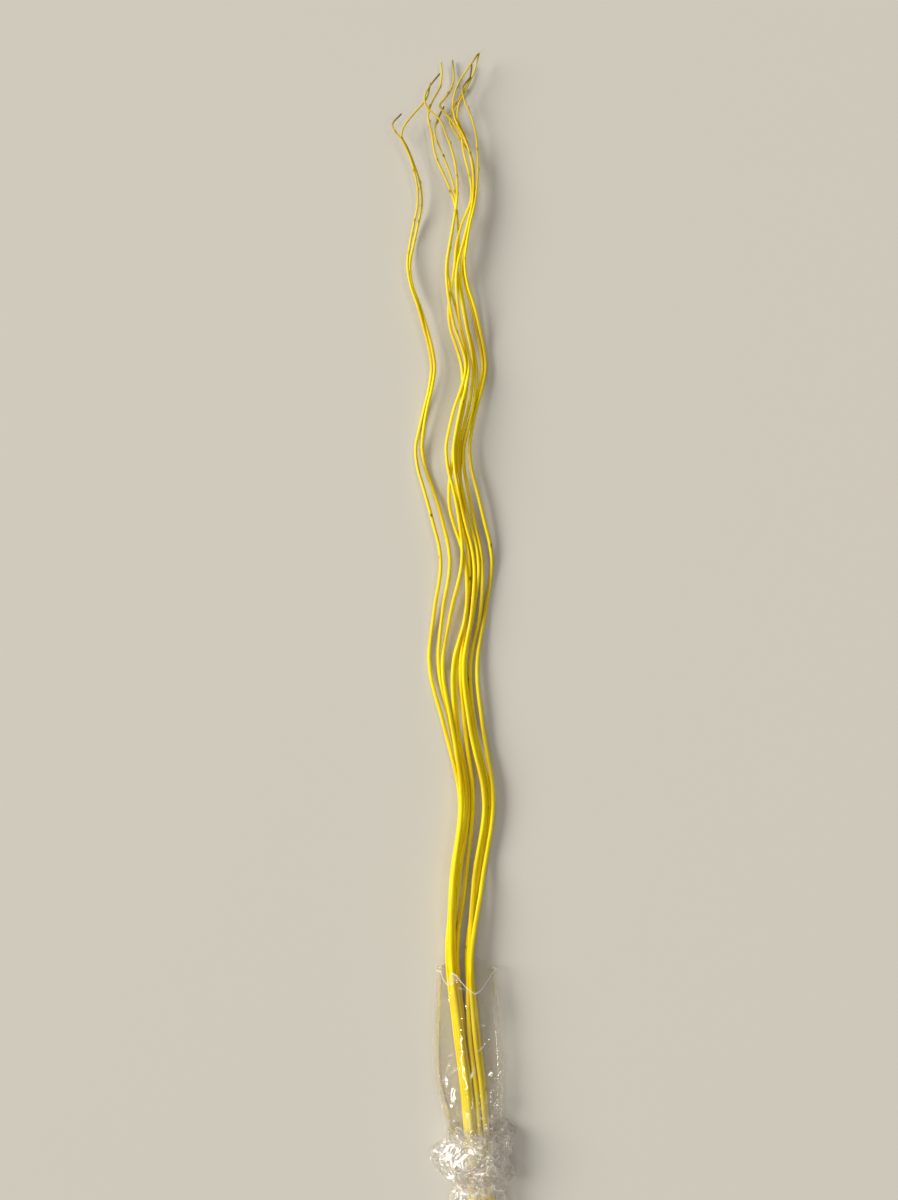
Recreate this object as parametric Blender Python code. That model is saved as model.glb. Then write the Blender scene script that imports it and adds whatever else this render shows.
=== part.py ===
# Curly willow bunch: ten long wavy stems lying on a surface, their lower ends
# held by a rubber band inside an open film sleeve.
#
# Frame: metres, +Z up, the surface at Z = 0, the stems run along +Y from their
# cut ends to their tips, and the origin is under the middle of the whole bunch.
# Along the bunch, a place is given by its distance from the cut ends.

import math

import bmesh
import bpy
import numpy as np

MM = 0.001
SLIVER_GAP = 0.35 * MM          # air left between pieces that touch

# Stems: how thick they are and how they lie.
BUTT_RADIUS = 5.2 * MM          # at the cut end
TIP_RADIUS = 1.2 * MM
TAPER_POWER = 1.3               # stays thick low down, then thins towards the tip
STEM_SIDES_RESOLUTION = 2       # gives an eight-sided rod
TIP_ZONE = 2.05                 # past this the stems turn sharply
LONG_STEP = 0.036               # between points of a stem below the tip zone
TIP_STEP = 0.012
CUT_STAGGERS = (0.0, 12.0, 8.0, 4.0)   # how far up in turn the stems are cut, in millimetres
CORKSCREW_LENGTH = 0.43         # one turn of the stems' natural curl
TURN_STAGGER = 0.38             # of a turn, from one stem's curl to the next one's
LIFT_AT_BUTT = 2.0 * MM         # how far the curl lifts a stem off the surface
LIFT_AT_TIP = 26.0 * MM
LIFT_POWER = 1.5                # the lift grows slowly at first
SPRING_RADIUS = 0.6             # tightest bow of a stem over what it lies on
SMOOTHING = 0.012
LAYING_STEP = 4.0 * MM          # a stem's height is worked out this often
SEATING_PASSES = 4

# Sleeve of clear film and the rubber band inside it.
FILM_WALL = 1.2 * MM
SLEEVE_BASE_SHARE = 0.82        # flat part of the base as a share of the width
SLEEVE_SIDE_RISE = 0.24         # height of the widest place as a share of the full height
BAND_PLACE = 0.061
BAND_WIDTH = 5.0 * MM
BAND_THICKNESS = 1.0 * MM

# Distances from the cut ends at which each stem's place sideways is stated.
SWAY_PLACES = (
    0.0, 0.26, 0.41, 0.55, 0.715, 0.88, 1.01, 1.145, 1.245, 1.34,
    1.44, 1.545, 1.615, 1.69, 1.78, 1.865, 1.925, 1.985, 2.07,
)

# Each stem: its places sideways in millimetres, to the right of the middle
# line, then its curled tip as (distance, sideways millimetres) pairs.
STEMS = {
    "stem_01": (
        (26, 8, -9, -22, -18, -2, -30, -61, -50, -38, -60, -84, -69, -54, -72, -96, -89, -77, -97),
        ((2.085, -105), (2.103, -119), (2.115, -120), (2.127, -106)),
    ),
    "stem_02": (
        (21, 3, -14, -27, -12, 3, -19, -43, -34, -21, -42, -72, -63, -48, -67, -93, -83, -70, -94),
        ((2.093, -105), (2.104, -102), (2.131, -80), (2.152, -61), (2.178, -54)),
    ),
    "stem_03": (
        (32, 14, -4, -18, -15, 1, -15, -35, -18, 2, -7, -27, -13, 9, -16, -26, -17, -7, -17),
        ((2.090, -25), (2.121, -41), (2.132, -55), (2.152, -64), (2.172, -55), (2.192, -38)),
    ),
    "stem_04": (
        (38, 20, 1, -13, -11, 9, -9, -14, 10, 7, -21, -13, -1, 2, -22, -12, -5, 18, 4),
        ((2.100, -2), (2.125, -20), (2.147, -38), (2.163, -25), (2.187, -14), (2.224, -15)),
    ),
    "stem_05": (
        (43, 25, 6, -8, 10, 23, 8, -1, 12, 15, -4, -9, 4, 13, -5, -24, -16, -9, -36),
        ((2.090, -44), (2.108, -47), (2.127, -41), (2.147, -31)),
    ),
    "stem_06": (
        (32, 14, -4, -17, -3, 15, -5, -8, 13, 18, 3, 1, 21, 40, 24, 4, 10, 20, 13),
        ((2.091, -2), (2.125, -20), (2.145, -14), (2.165, -1), (2.190, 14), (2.217, 19)),
    ),
    "stem_07": (
        (48, 31, 15, 16, 26, 45, 19, 5, 21, 24, 1, -13, -1, 14, -3, -7, 8, 21, 13),
        ((2.090, 5), (2.116, -9), (2.143, -14), (2.173, -7), (2.207, 16), (2.236, 38)),
    ),
    "stem_08": (
        (54, 36, 21, 12, 33, 48, 24, 8, 24, 33, 9, -5, 13, 22, 7, -7, -4, -13, -48),
        ((2.094, -51), (2.127, -58), (2.148, -52), (2.177, -37), (2.198, -34), (2.218, -35)),
    ),
    "stem_09": (
        (65, 47, 32, 21, 39, 56, 28, 19, 37, 39, 19, 5, 21, 28, 9, 0, 12, 23, 14),
        ((2.093, 7), (2.120, -6), (2.143, -4), (2.165, 7), (2.197, 23), (2.228, 32)),
    ),
    "stem_10": (
        (60, 42, 26, 20, 43, 62, 43, 31, 47, 58, 37, 16, 27, 45, 30, 7, 13, 26, 29),
        ((2.096, 26), (2.123, 18), (2.153, 5), (2.173, 4), (2.187, 16)),
    ),
}

# The stems are laid one after another, the lowest first.
LAYING_ORDER = (
    "stem_06", "stem_09", "stem_08", "stem_05", "stem_02",
    "stem_04", "stem_01", "stem_07", "stem_10", "stem_03",
)

# Sleeve outline: distance, left edge, right edge and height in millimetres.
SLEEVE_OUTLINE = (
    (-0.045, -6, 92, 40),
    (0.000, -34, 106, 52),
    (0.055, -46, 110, 60),
    (0.105, -70, 112, 64),
    (0.148, -64, 102, 62),
    (0.193, -50, 91, 54),
    (0.240, -57, 90, 53),
    (0.350, -55, 86, 54),
    (0.455, -52, 75, 54),
    (0.535, -48, 67, 52),
)
SLEEVE_ARC_POINTS = 19
SLEEVE_BASE_POINTS = 5
BAND_ANGLE_STEP = 12            # degrees between the band's points where it rounds a stem

# Colours as linear red, green and blue, with roughness.
YELLOW_STEM = (0.78, 0.56, 0.02, 1.0)
CLEAR_FILM = (0.80, 0.82, 0.82, 1.0)
RUBBER = (0.55, 0.33, 0.05, 1.0)


def clear_scene():
    for obj in list(bpy.data.objects):
        bpy.data.objects.remove(obj, do_unlink=True)


def material(name, colour, roughness):
    made = bpy.data.materials.new(name)
    made.use_nodes = True
    shader = made.node_tree.nodes["Principled BSDF"]
    shader.inputs["Base Color"].default_value = colour
    shader.inputs["Roughness"].default_value = roughness
    shader.inputs["Metallic"].default_value = 0.0
    made.diffuse_color = colour
    return made


def smooth_through(places, values, at):
    """A curve through all points: cubics whose slopes come from each point's neighbours."""
    places = np.asarray(places, dtype=float)
    values = np.asarray(values, dtype=float)
    slopes = np.gradient(values, places)
    low = np.clip(np.searchsorted(places, at) - 1, 0, len(places) - 2)
    step = places[low + 1] - places[low]
    t = (at - places[low]) / step
    start = values[low] * (2 * t**3 - 3 * t**2 + 1) + slopes[low] * step * (t**3 - 2 * t**2 + t)
    finish = values[low + 1] * (3 * t**2 - 2 * t**3) + slopes[low + 1] * step * (t**3 - t**2)
    return start + finish


def stem_points(index, tip_end):
    """Distances of a stem's points: long steps, then short ones where the tip curls."""
    cut = CUT_STAGGERS[index % len(CUT_STAGGERS)] * MM
    shared = np.concatenate((np.arange(0.0, TIP_ZONE, LONG_STEP), np.arange(TIP_ZONE, tip_end, TIP_STEP)))
    inside = shared[(shared > cut + TIP_STEP / 2) & (shared < tip_end - TIP_STEP / 2)]
    return np.concatenate(([cut], inside, [tip_end]))


def stem_radius(distance, tip_end):
    share = np.clip(distance / tip_end, 0.0, 1.0)
    return TIP_RADIUS + (BUTT_RADIUS - TIP_RADIUS) * (1.0 - share**TAPER_POWER)


def surface_height(distance):
    """What a stem's lowest side may touch: the surface, the film or the band on the film."""
    on_film = (distance > SLEEVE_OUTLINE[0][0]) & (distance < SLEEVE_OUTLINE[-1][0] + TIP_STEP)
    on_band = np.abs(distance - BAND_PLACE) < BAND_WIDTH
    height = np.where(on_film, FILM_WALL + SLIVER_GAP, 0.0)
    return height + np.where(on_band, BAND_THICKNESS + SLIVER_GAP, 0.0)


def spring_over(wish, grid):
    """The lowest curve over the wished heights that bows no tighter than the spring radius."""
    away = grid[:, None] - grid[None, :]
    bowed = np.max(wish[None, :] - away**2 / (2 * SPRING_RADIUS), axis=1)
    weight = np.exp(-0.5 * (away / SMOOTHING) ** 2)
    return weight @ bowed / weight.sum(axis=1)


def lay_stem(index, name, laid):
    """Lay one stem on the surface and on the stems below it. Returns its line and far end."""
    sways, tip = STEMS[name]
    places = SWAY_PLACES + tuple(place for place, _ in tip)
    offsets = sways + tuple(offset for _, offset in tip)
    points = stem_points(index, places[-1])
    sideways = smooth_through(places, np.array(offsets) * MM, points)

    grid = np.arange(points[0], points[-1], LAYING_STEP)
    grid_x = np.interp(grid, points, sideways)
    slope = np.abs(np.gradient(grid_x, grid))
    radius = stem_radius(grid, places[-1])
    need = surface_height(grid) + radius
    for other in laid:
        other_x = np.interp(grid, other["points"], other["x"])
        other_z = np.interp(grid, other["points"], other["z"])
        there = grid < other["points"][-1] + TIP_STEP
        reach = radius + stem_radius(grid, other["points"][-1]) + SLIVER_GAP
        slant = np.maximum(slope, np.abs(np.gradient(other_x, grid)))
        across = np.abs(grid_x - other_x) / np.sqrt(1.0 + slant**2)
        rise = np.sqrt(np.clip(reach**2 - across**2, 0.0, None))
        need = np.where(there & (across < reach), np.maximum(need, other_z + rise), need)

    turn = 2 * math.pi * (grid / CORKSCREW_LENGTH + TURN_STAGGER * index)
    lift = LIFT_AT_BUTT + (LIFT_AT_TIP - LIFT_AT_BUTT) * (grid / places[-1]) ** LIFT_POWER
    curl = surface_height(grid) + radius + lift * (0.5 - 0.5 * np.cos(turn))
    height = spring_over(np.maximum(need, curl), grid)

    # Straight runs between points cut corners, so points next to a low run are raised.
    z = np.interp(points, grid, height)
    for _ in range(SEATING_PASSES):
        short = np.clip(need - np.interp(grid, points, z), 0.0, None)
        for number, place in enumerate(points):
            step = LONG_STEP if place < TIP_ZONE else TIP_STEP
            z[number] += short[np.abs(grid - place) <= step].max(initial=0.0)
    return {"name": name, "points": points, "x": sideways, "z": z, "tip_end": places[-1]}


def middle_of(laid):
    """The middle of the whole bunch, sideways and along, which becomes the origin."""
    lefts = [min(stem["x"] - stem_radius(stem["points"], stem["tip_end"])) for stem in laid]
    rights = [max(stem["x"] + stem_radius(stem["points"], stem["tip_end"])) for stem in laid]
    left = min(min(lefts), min(row[1] for row in SLEEVE_OUTLINE) * MM)
    right = max(max(rights), max(row[2] for row in SLEEVE_OUTLINE) * MM)
    far = max(stem["tip_end"] for stem in laid)
    return (left + right) / 2, (SLEEVE_OUTLINE[0][0] + far) / 2


def make_stem(stem, middle, paint):
    """A rod along the laid points, with its own radius at each point."""
    curve = bpy.data.curves.new(stem["name"], "CURVE")
    curve.dimensions = "3D"
    curve.twist_mode = "Z_UP"
    curve.bevel_depth = 1.0
    curve.bevel_resolution = STEM_SIDES_RESOLUTION
    curve.use_fill_caps = True
    line = curve.splines.new("POLY")
    line.points.add(len(stem["points"]) - 1)
    radii = stem_radius(stem["points"], stem["tip_end"])
    for point, place, x, z, radius in zip(line.points, stem["points"], stem["x"], stem["z"], radii):
        point.co = (x - middle[0], place - middle[1], z, 1.0)
        point.radius = radius
    rod = bpy.data.objects.new(stem["name"], curve)
    bpy.context.collection.objects.link(rod)
    curve.materials.append(paint)


def sleeve_section(left, right, height, inset):
    """A loaf-shaped section: a flat base, then one arc up, over and down again."""
    middle = (left + right) / 2
    half = (right - left) / 2 - inset
    widest = height * SLEEVE_SIDE_RISE
    turn = math.acos(SLEEVE_BASE_SHARE)
    angles = np.linspace(-turn, math.pi + turn, SLEEVE_ARC_POINTS)
    rise = np.sin(angles)
    above = (height - inset - widest) * rise
    below = (widest - inset) * rise / math.sin(turn)
    arc_x = middle + half * np.cos(angles)
    arc_z = widest + np.where(rise > 0.0, above, below)
    base_x = np.linspace(arc_x[-1], arc_x[0], SLEEVE_BASE_POINTS + 2)[1:-1]
    base_z = np.full(SLEEVE_BASE_POINTS, inset)
    return np.concatenate((arc_x, base_x)), np.concatenate((arc_z, base_z))


def ring_solid(name, outer_rings, inner_rings, finish):
    """A closed wall between an outer and an inner skin, open at both ends."""
    mesh = bpy.data.meshes.new(name)
    shape = bmesh.new()
    skins = []
    for rings in (outer_rings, inner_rings):
        skins.append([[shape.verts.new(point) for point in ring] for ring in rings])
    for rings in skins:
        for low, high in zip(rings, rings[1:]):
            join_rings(shape, low, high)
    join_rings(shape, skins[0][0], skins[1][0])
    join_rings(shape, skins[0][-1], skins[1][-1])
    bmesh.ops.recalc_face_normals(shape, faces=shape.faces)
    shape.to_mesh(mesh)
    shape.free()
    mesh.materials.append(finish)
    piece = bpy.data.objects.new(name, mesh)
    bpy.context.collection.objects.link(piece)


def join_rings(shape, low, high):
    count = len(low)
    for number in range(count):
        after = (number + 1) % count
        shape.faces.new((low[number], low[after], high[after], high[number]))


def make_sleeve(middle, finish):
    outer = []
    inner = []
    for place, left, right, height in SLEEVE_OUTLINE:
        for inset, rings in ((0.0, outer), (FILM_WALL, inner)):
            xs, zs = sleeve_section(left * MM, right * MM, height * MM, inset)
            rings.append([(x - middle[0], place - middle[1], z) for x, z in zip(xs, zs)])
    ring_solid("film_sleeve", outer, inner, finish)


def band_outline(laid, clearance):
    """The taut outline round all the stems where they pass through the band."""
    centres = []
    for place in (BAND_PLACE - BAND_WIDTH / 2, BAND_PLACE, BAND_PLACE + BAND_WIDTH / 2):
        for stem in laid:
            x = np.interp(place, stem["points"], stem["x"])
            z = np.interp(place, stem["points"], stem["z"])
            centres.append((x, z, stem_radius(place, stem["tip_end"])))
    centres = np.array(centres)
    angles = np.radians(np.arange(360))
    ways = np.stack((np.cos(angles), np.sin(angles)))
    holder = np.argmax(centres[:, :2] @ ways + centres[:, 2:], axis=0)
    leaves_a_stem = (holder != np.roll(holder, 1)) | (holder != np.roll(holder, -1))
    kept = leaves_a_stem | (np.arange(360) % BAND_ANGLE_STEP == 0)
    touching = centres[holder[kept]]
    outline = touching[:, :2] + (touching[:, 2:] + clearance) * ways.T[kept]
    return [tuple(point) for point in outline]


def make_band(laid, middle, finish):
    outer = []
    inner = []
    for side in (-0.5, 0.5):
        place = BAND_PLACE + side * BAND_WIDTH - middle[1]
        for clearance, rings in ((SLIVER_GAP + BAND_THICKNESS, outer), (SLIVER_GAP, inner)):
            outline = band_outline(laid, clearance)
            rings.append([(x - middle[0], place, z) for x, z in outline])
    ring_solid("tie_band", outer, inner, finish)


def main():
    clear_scene()
    paint = material("yellow_painted_willow", YELLOW_STEM, 0.45)
    film = material("clear_film", CLEAR_FILM, 0.15)
    rubber = material("natural_rubber", RUBBER, 0.6)
    laid = []
    for index, name in enumerate(LAYING_ORDER):
        laid.append(lay_stem(index, name, laid))
    middle = middle_of(laid)
    for stem in laid:
        make_stem(stem, middle, paint)
    make_sleeve(middle, film)
    make_band(laid, middle, rubber)
    tallest = max(stem["z"].max() for stem in laid)
    print("middle", middle, "tallest stem line", tallest)


main()
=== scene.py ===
# %% [markdown]
# # A bunch of yellow curly willow
#
# Ten long willow rods, painted yellow, lie on a pale floor. Their cut ends sit in a sleeve
# of clear film that was pushed down and crumpled. The camera looks down on them.
#
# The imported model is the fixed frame: it says where every rod, the sleeve and the rubber
# band lie. This lesson reads those places and grows the finished surfaces on them.

# %% Load the frame
import itertools
import math

import bpy
import numpy as np
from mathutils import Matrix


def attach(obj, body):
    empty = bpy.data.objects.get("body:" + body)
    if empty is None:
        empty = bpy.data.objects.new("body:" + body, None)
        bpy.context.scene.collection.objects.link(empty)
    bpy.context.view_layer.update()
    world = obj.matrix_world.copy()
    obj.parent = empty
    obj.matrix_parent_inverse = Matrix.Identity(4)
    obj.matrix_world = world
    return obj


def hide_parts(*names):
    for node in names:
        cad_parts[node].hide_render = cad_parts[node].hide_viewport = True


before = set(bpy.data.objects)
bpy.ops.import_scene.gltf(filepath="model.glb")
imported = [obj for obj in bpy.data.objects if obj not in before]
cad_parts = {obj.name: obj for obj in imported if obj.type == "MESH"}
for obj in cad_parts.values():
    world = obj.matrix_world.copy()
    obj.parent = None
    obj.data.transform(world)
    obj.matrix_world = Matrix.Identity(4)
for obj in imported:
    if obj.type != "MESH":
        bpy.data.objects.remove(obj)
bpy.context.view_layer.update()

MM = 0.001

# %% [markdown]
# ## Helpers
#
# Paint and film makers give colours as sRGB hex values, while Blender's shaders want linear
# light, so one function turns the first into the second. The others add shader nodes with
# their settings and links in one call, and put objects in the scene.

# %% Colour, node and object helpers


def linear(code, alpha=1.0):
    """A dark sRGB channel, up to 0.04045, is divided by 12.92. A lighter one follows a power of 2.4."""
    channels = [int(code[at:at + 2], 16) / 255 for at in (1, 3, 5)]
    light = [c / 12.92 if c <= 0.04045 else ((c + 0.055) / 1.055) ** 2.4 for c in channels]
    return (*light, alpha)


def add(tree, kind, inputs=None, **settings):
    """Add one node, set its settings, then give each input a link or a value."""
    node = tree.nodes.new(kind)
    for name, value in settings.items():
        setattr(node, name, value)
    for name, value in (inputs or {}).items():
        if isinstance(value, bpy.types.NodeSocket):
            tree.links.new(value, node.inputs[name])
        else:
            node.inputs[name].default_value = value
    return node


def colour_mix(tree, share, first, second):
    """The output of a colour Mix node: first where the share is 0, second where it is 1."""
    node = add(tree, "ShaderNodeMix", {0: share, 6: first, 7: second}, data_type="RGBA")
    return node.outputs[2]


def calculate(tree, operation, *values, **settings):
    """The output of a Math node. Each value is a link or a number."""
    node = add(tree, "ShaderNodeMath", dict(enumerate(values)), operation=operation, **settings)
    return node.outputs["Value"]


def noise(tree, place, scale, detail, roughness=0.5):
    """Both outputs of a noise texture. Scale is in features per unit of place."""
    node = add(tree, "ShaderNodeTexNoise",
               {"Vector": place, "Scale": scale, "Detail": detail, "Roughness": roughness})
    return node.outputs


def blank_material(name):
    """A material, its tree, which holds only the output, and that output's surface."""
    made = bpy.data.materials.new(name)
    made.use_nodes = True
    made.node_tree.nodes.clear()
    output = add(made.node_tree, "ShaderNodeOutputMaterial")
    return made, made.node_tree, output.inputs["Surface"]


def put(name, data):
    """A new object in the scene."""
    made = bpy.data.objects.new(name, data)
    bpy.context.scene.collection.objects.link(made)
    return made


print("yellow in linear light", linear("#F9CA00"))

# %% [markdown]
# ## From a grid of points to a mesh
#
# Rods, film and band are all grids: rings of points one after another. Every ring closes
# on itself. A solid rod also closes at its ends, with a fan of triangles to one point.

# %% Mesh from rings


def ring_mesh(name, rings, finish, ends_closed=False, side_open=False):
    """
    Join each ring to the next with quads. Quad (i, j) has the corners (i, j), (i+1, j),
    (i+1, j+1) and (i, j+1), with j wrapping round, so it faces along the way to the next
    ring crossed with the way round. A closed end adds the ring's middle, and an open side
    leaves out the quads between the last point of each ring and the first.
    """
    rows, around, _ = rings.shape
    number = np.arange(rows * around).reshape(rows, around)
    after = np.roll(number, -1, axis=1)
    quads = np.stack((number[:-1], number[1:], after[1:], after[:-1]), axis=-1)
    quads = (quads[:, :-1] if side_open else quads).reshape(-1, 4)
    points = rings.reshape(-1, 3)
    faces = quads.tolist()
    if ends_closed:
        middles = np.stack((rings[0].mean(axis=0), rings[-1].mean(axis=0)))
        points = np.concatenate((points, middles))
        first = np.full(around, rows * around)
        faces += np.stack((number[0], after[0], first), axis=-1).tolist()
        faces += np.stack((after[-1], number[-1], first + 1), axis=-1).tolist()
    mesh = bpy.data.meshes.new(name)
    mesh.from_pydata(points.tolist(), [], faces)
    mesh.shade_smooth()
    mesh.materials.append(finish)
    return put(name, mesh)


def paint_value(piece, name, values):
    """Store one number or one vector for each point of the mesh, for its material to read."""
    values = np.asarray(values, dtype=np.float32)
    kind, key = ("FLOAT", "value") if values.ndim == 1 else ("FLOAT_VECTOR", "vector")
    layer = piece.data.attributes.new(name, kind, "POINT")
    layer.data.foreach_set(key, values.ravel())


def smooth_step(low, high, value):
    """0 below low, 1 above high, and 3t^2 - 2t^3 in between."""
    t = np.clip((value - low) / (high - low), 0.0, 1.0)
    return t * t * (3 - 2 * t)


print("mesh helpers ready")

# %% [markdown]
# ## The camera
#
# The photograph was taken by someone standing, with the bunch reaching from their feet to
# above their head. Laid down, the same view is a camera about 1.7 m above the floor that
# looks down and a little towards the cut ends. Its focal length is 898 px on a frame
# 1200 px high, which is 27 mm on a 36 mm sensor.

# %% Camera
FRAME_HEIGHT_PX = 1200
FOCAL_PX = 898
SENSOR_MM = 36.0
CAMERA_PLACE = (0.0051, 0.3753, 1.70)
CAMERA_TILT = 7.0               # degrees towards the cut ends
MIDDLE_SHIFT_PX = -12

lens = bpy.data.cameras.new("camera")
lens.sensor_width = SENSOR_MM
lens.lens = FOCAL_PX / FRAME_HEIGHT_PX * SENSOR_MM
lens.shift_x = MIDDLE_SHIFT_PX / FRAME_HEIGHT_PX
camera = put("camera", lens)
camera.location = CAMERA_PLACE
camera.rotation_euler = (math.radians(-CAMERA_TILT), 0.0, 0.0)
bpy.context.scene.camera = camera
print("lens", round(lens.lens, 2), "mm")

# %% [markdown]
# ## Floor and light
#
# The floor is plain and pale. The light is a large soft source far away on the left, as in
# the photograph, where the left edge of every rod is the bright one. It is a sun lamp with
# a wide disc, so it is even over the whole floor and its shadows have soft edges. Four weak
# ones with small discs stand for the room's other windows. They hardly light the floor,
# but crumpled film needs small bright things to mirror. A pale world fills the shadows.
# The Standard view keeps the yellow as strong as it is: the softer views turn a bright
# yellow to cream.

# %% Floor and lights
FLOOR_SIZE = 40.0
FLOOR_COLOUR = "#CECBC3"
FLOOR_ROUGHNESS = 0.8
WORLD_COLOUR = "#F4F2EE"
WORLD_STRENGTH = 0.29
LIGHT_COLOUR = "#FFFBF2"

# Each light: name, strength, width of its disc, height above the floor and turn from
# straight left towards the tips. The last three are in degrees.
LIGHTS = (
    ("soft_light", 3.7, 34.0, 28.5, 10.0),
    ("small_light_right", 0.17, 6.0, 59.0, 209.0),
    ("small_light_foot", 0.17, 6.0, 50.0, -67.0),
    ("small_light_above", 0.12, 6.0, 78.0, -40.0),
    ("small_light_tips", 0.15, 6.0, 62.0, 140.0),
)


def floor_material():
    """Matt painted floor: one pale colour, too rough to mirror."""
    made, tree, surface = blank_material("pale_floor")
    skin = add(tree, "ShaderNodeBsdfPrincipled",
               {"Base Color": linear(FLOOR_COLOUR), "Roughness": FLOOR_ROUGHNESS})
    tree.links.new(skin.outputs["BSDF"], surface)
    return made


def make_floor():
    half = FLOOR_SIZE / 2
    corners = ((-half, -half, 0), (half, -half, 0), (half, half, 0), (-half, half, 0))
    mesh = bpy.data.meshes.new("floor")
    mesh.from_pydata(corners, [], [(0, 1, 2, 3)])
    mesh.materials.append(floor_material())
    floor = put("floor", mesh)


def make_lights():
    for name, strength, disc, height, turn in LIGHTS:
        light = bpy.data.lights.new(name, "SUN")
        light.angle = math.radians(disc)
        light.energy = strength
        light.color = linear(LIGHT_COLOUR)[:3]
        lamp = put(name, light)
        lamp.rotation_euler = (0.0, math.radians(height - 90), math.radians(-turn))
    world = bpy.data.worlds.new("pale_room")
    world.use_nodes = True
    sky = world.node_tree.nodes["Background"]
    sky.inputs["Color"].default_value = linear(WORLD_COLOUR)
    sky.inputs["Strength"].default_value = WORLD_STRENGTH
    bpy.context.scene.world = world


make_floor()
make_lights()
bpy.context.scene.view_settings.view_transform = "Standard"
bpy.context.scene.cycles.transparent_max_bounces = 32
print("floor and lights made")

# %% [markdown]
# ## Where each rod lies
#
# The frame's rods are plain: eight corners at each of their points. The middle of those
# eight corners is the rod's line, and their distance from it is the rod's radius. That is
# all that is kept of the plain rod. A smooth curve through the middles is then a better
# line for a grown rod than the straight runs of the frame.

# %% Read the rods' lines
ROD_CORNERS = 8
ROD_NAMES = sorted(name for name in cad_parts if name.startswith("stem_"))


def node_points(name):
    """Every different corner of a frame node, rounded to a hundredth of a millimetre."""
    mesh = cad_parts[name].data
    flat = np.zeros(len(mesh.vertices) * 3, dtype=np.float32)
    mesh.vertices.foreach_get("co", flat)
    return np.unique(flat.reshape(-1, 3).astype(float).round(5), axis=0)


def rod_line(name):
    """Sort the corners along Y, take them eight at a time, and measure each ring."""
    points = node_points(name)
    points = points[np.argsort(points[:, 1], kind="stable")]
    rings = points.reshape(-1, ROD_CORNERS, 3)
    middles = rings.mean(axis=1)
    radii = np.linalg.norm(rings - middles[:, None], axis=2).mean(axis=1)
    return middles, radii


def curve_through(knots, values, at):
    """
    A cubic between each pair of knots. Its slope at a knot is that of the parabola
    through the knot and its two neighbours.
    """
    slopes = np.gradient(values, knots, axis=0)
    low = np.clip(np.searchsorted(knots, at) - 1, 0, len(knots) - 2)
    step = (knots[low + 1] - knots[low])[:, None]
    t = (at - knots[low])[:, None] / step
    start = values[low] * (2 * t**3 - 3 * t**2 + 1) + slopes[low] * step * (t**3 - 2 * t**2 + t)
    finish = values[low + 1] * (3 * t**2 - 2 * t**3) + slopes[low + 1] * step * (t**3 - t**2)
    return start + finish


ROD_LINES = {name: rod_line(name) for name in ROD_NAMES}
for name, (middles, radii) in ROD_LINES.items():
    print(name, len(middles), "points, radius mm", (radii[[0, -1]] / MM).round(2))

# %% [markdown]
# ## Painted willow
#
# Dried willow rods of this kind are dipped in thin yellow paint. It leaves a satin skin
# that follows the bark: long faint streaks, a little more ochre where it is thin, brown
# specks where a leaf scar stayed bare, and grey-brown tips that dried out above the paint.
# The cut end shows pale wood with a dark pith.
#
# The pattern has to run along a bent rod. So every point carries its place on the rod as
# if it were straight, and the noise reads that place. It has no seam and no stretch.

# %% Painted willow material
PAINT_YELLOW = "#F9E500"
PAINT_OCHRE = "#DDAF04"
SCAR_BROWN = "#4E3A12"
DRY_TIP_BROWN = "#6B5416"
DRY_TIP_GREY = "#94803A"
CUT_WOOD = "#D9C08C"
PITH_BROWN = "#8B6A3C"
STREAK_WIDTH = 1.8 * MM         # bark streaks are finer, but these are as fine as a render shows
STREAK_LENGTH = 55 * MM
PATCH_WIDTH = 6 * MM            # where the dip ran thicker or thinner
PATCH_LENGTH = 160 * MM
THIN_FROM = 0.2                 # the product of both noises where the paint starts to look thin
THIN_FULL = 0.42
PITH_RADIUS = 1.1 * MM
PAINT_ROUGHNESS = 0.42
WOOD_ROUGHNESS = 0.8
PAINT_IOR = 1.33
STREAK_RELIEF = 0.3 * MM


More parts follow.
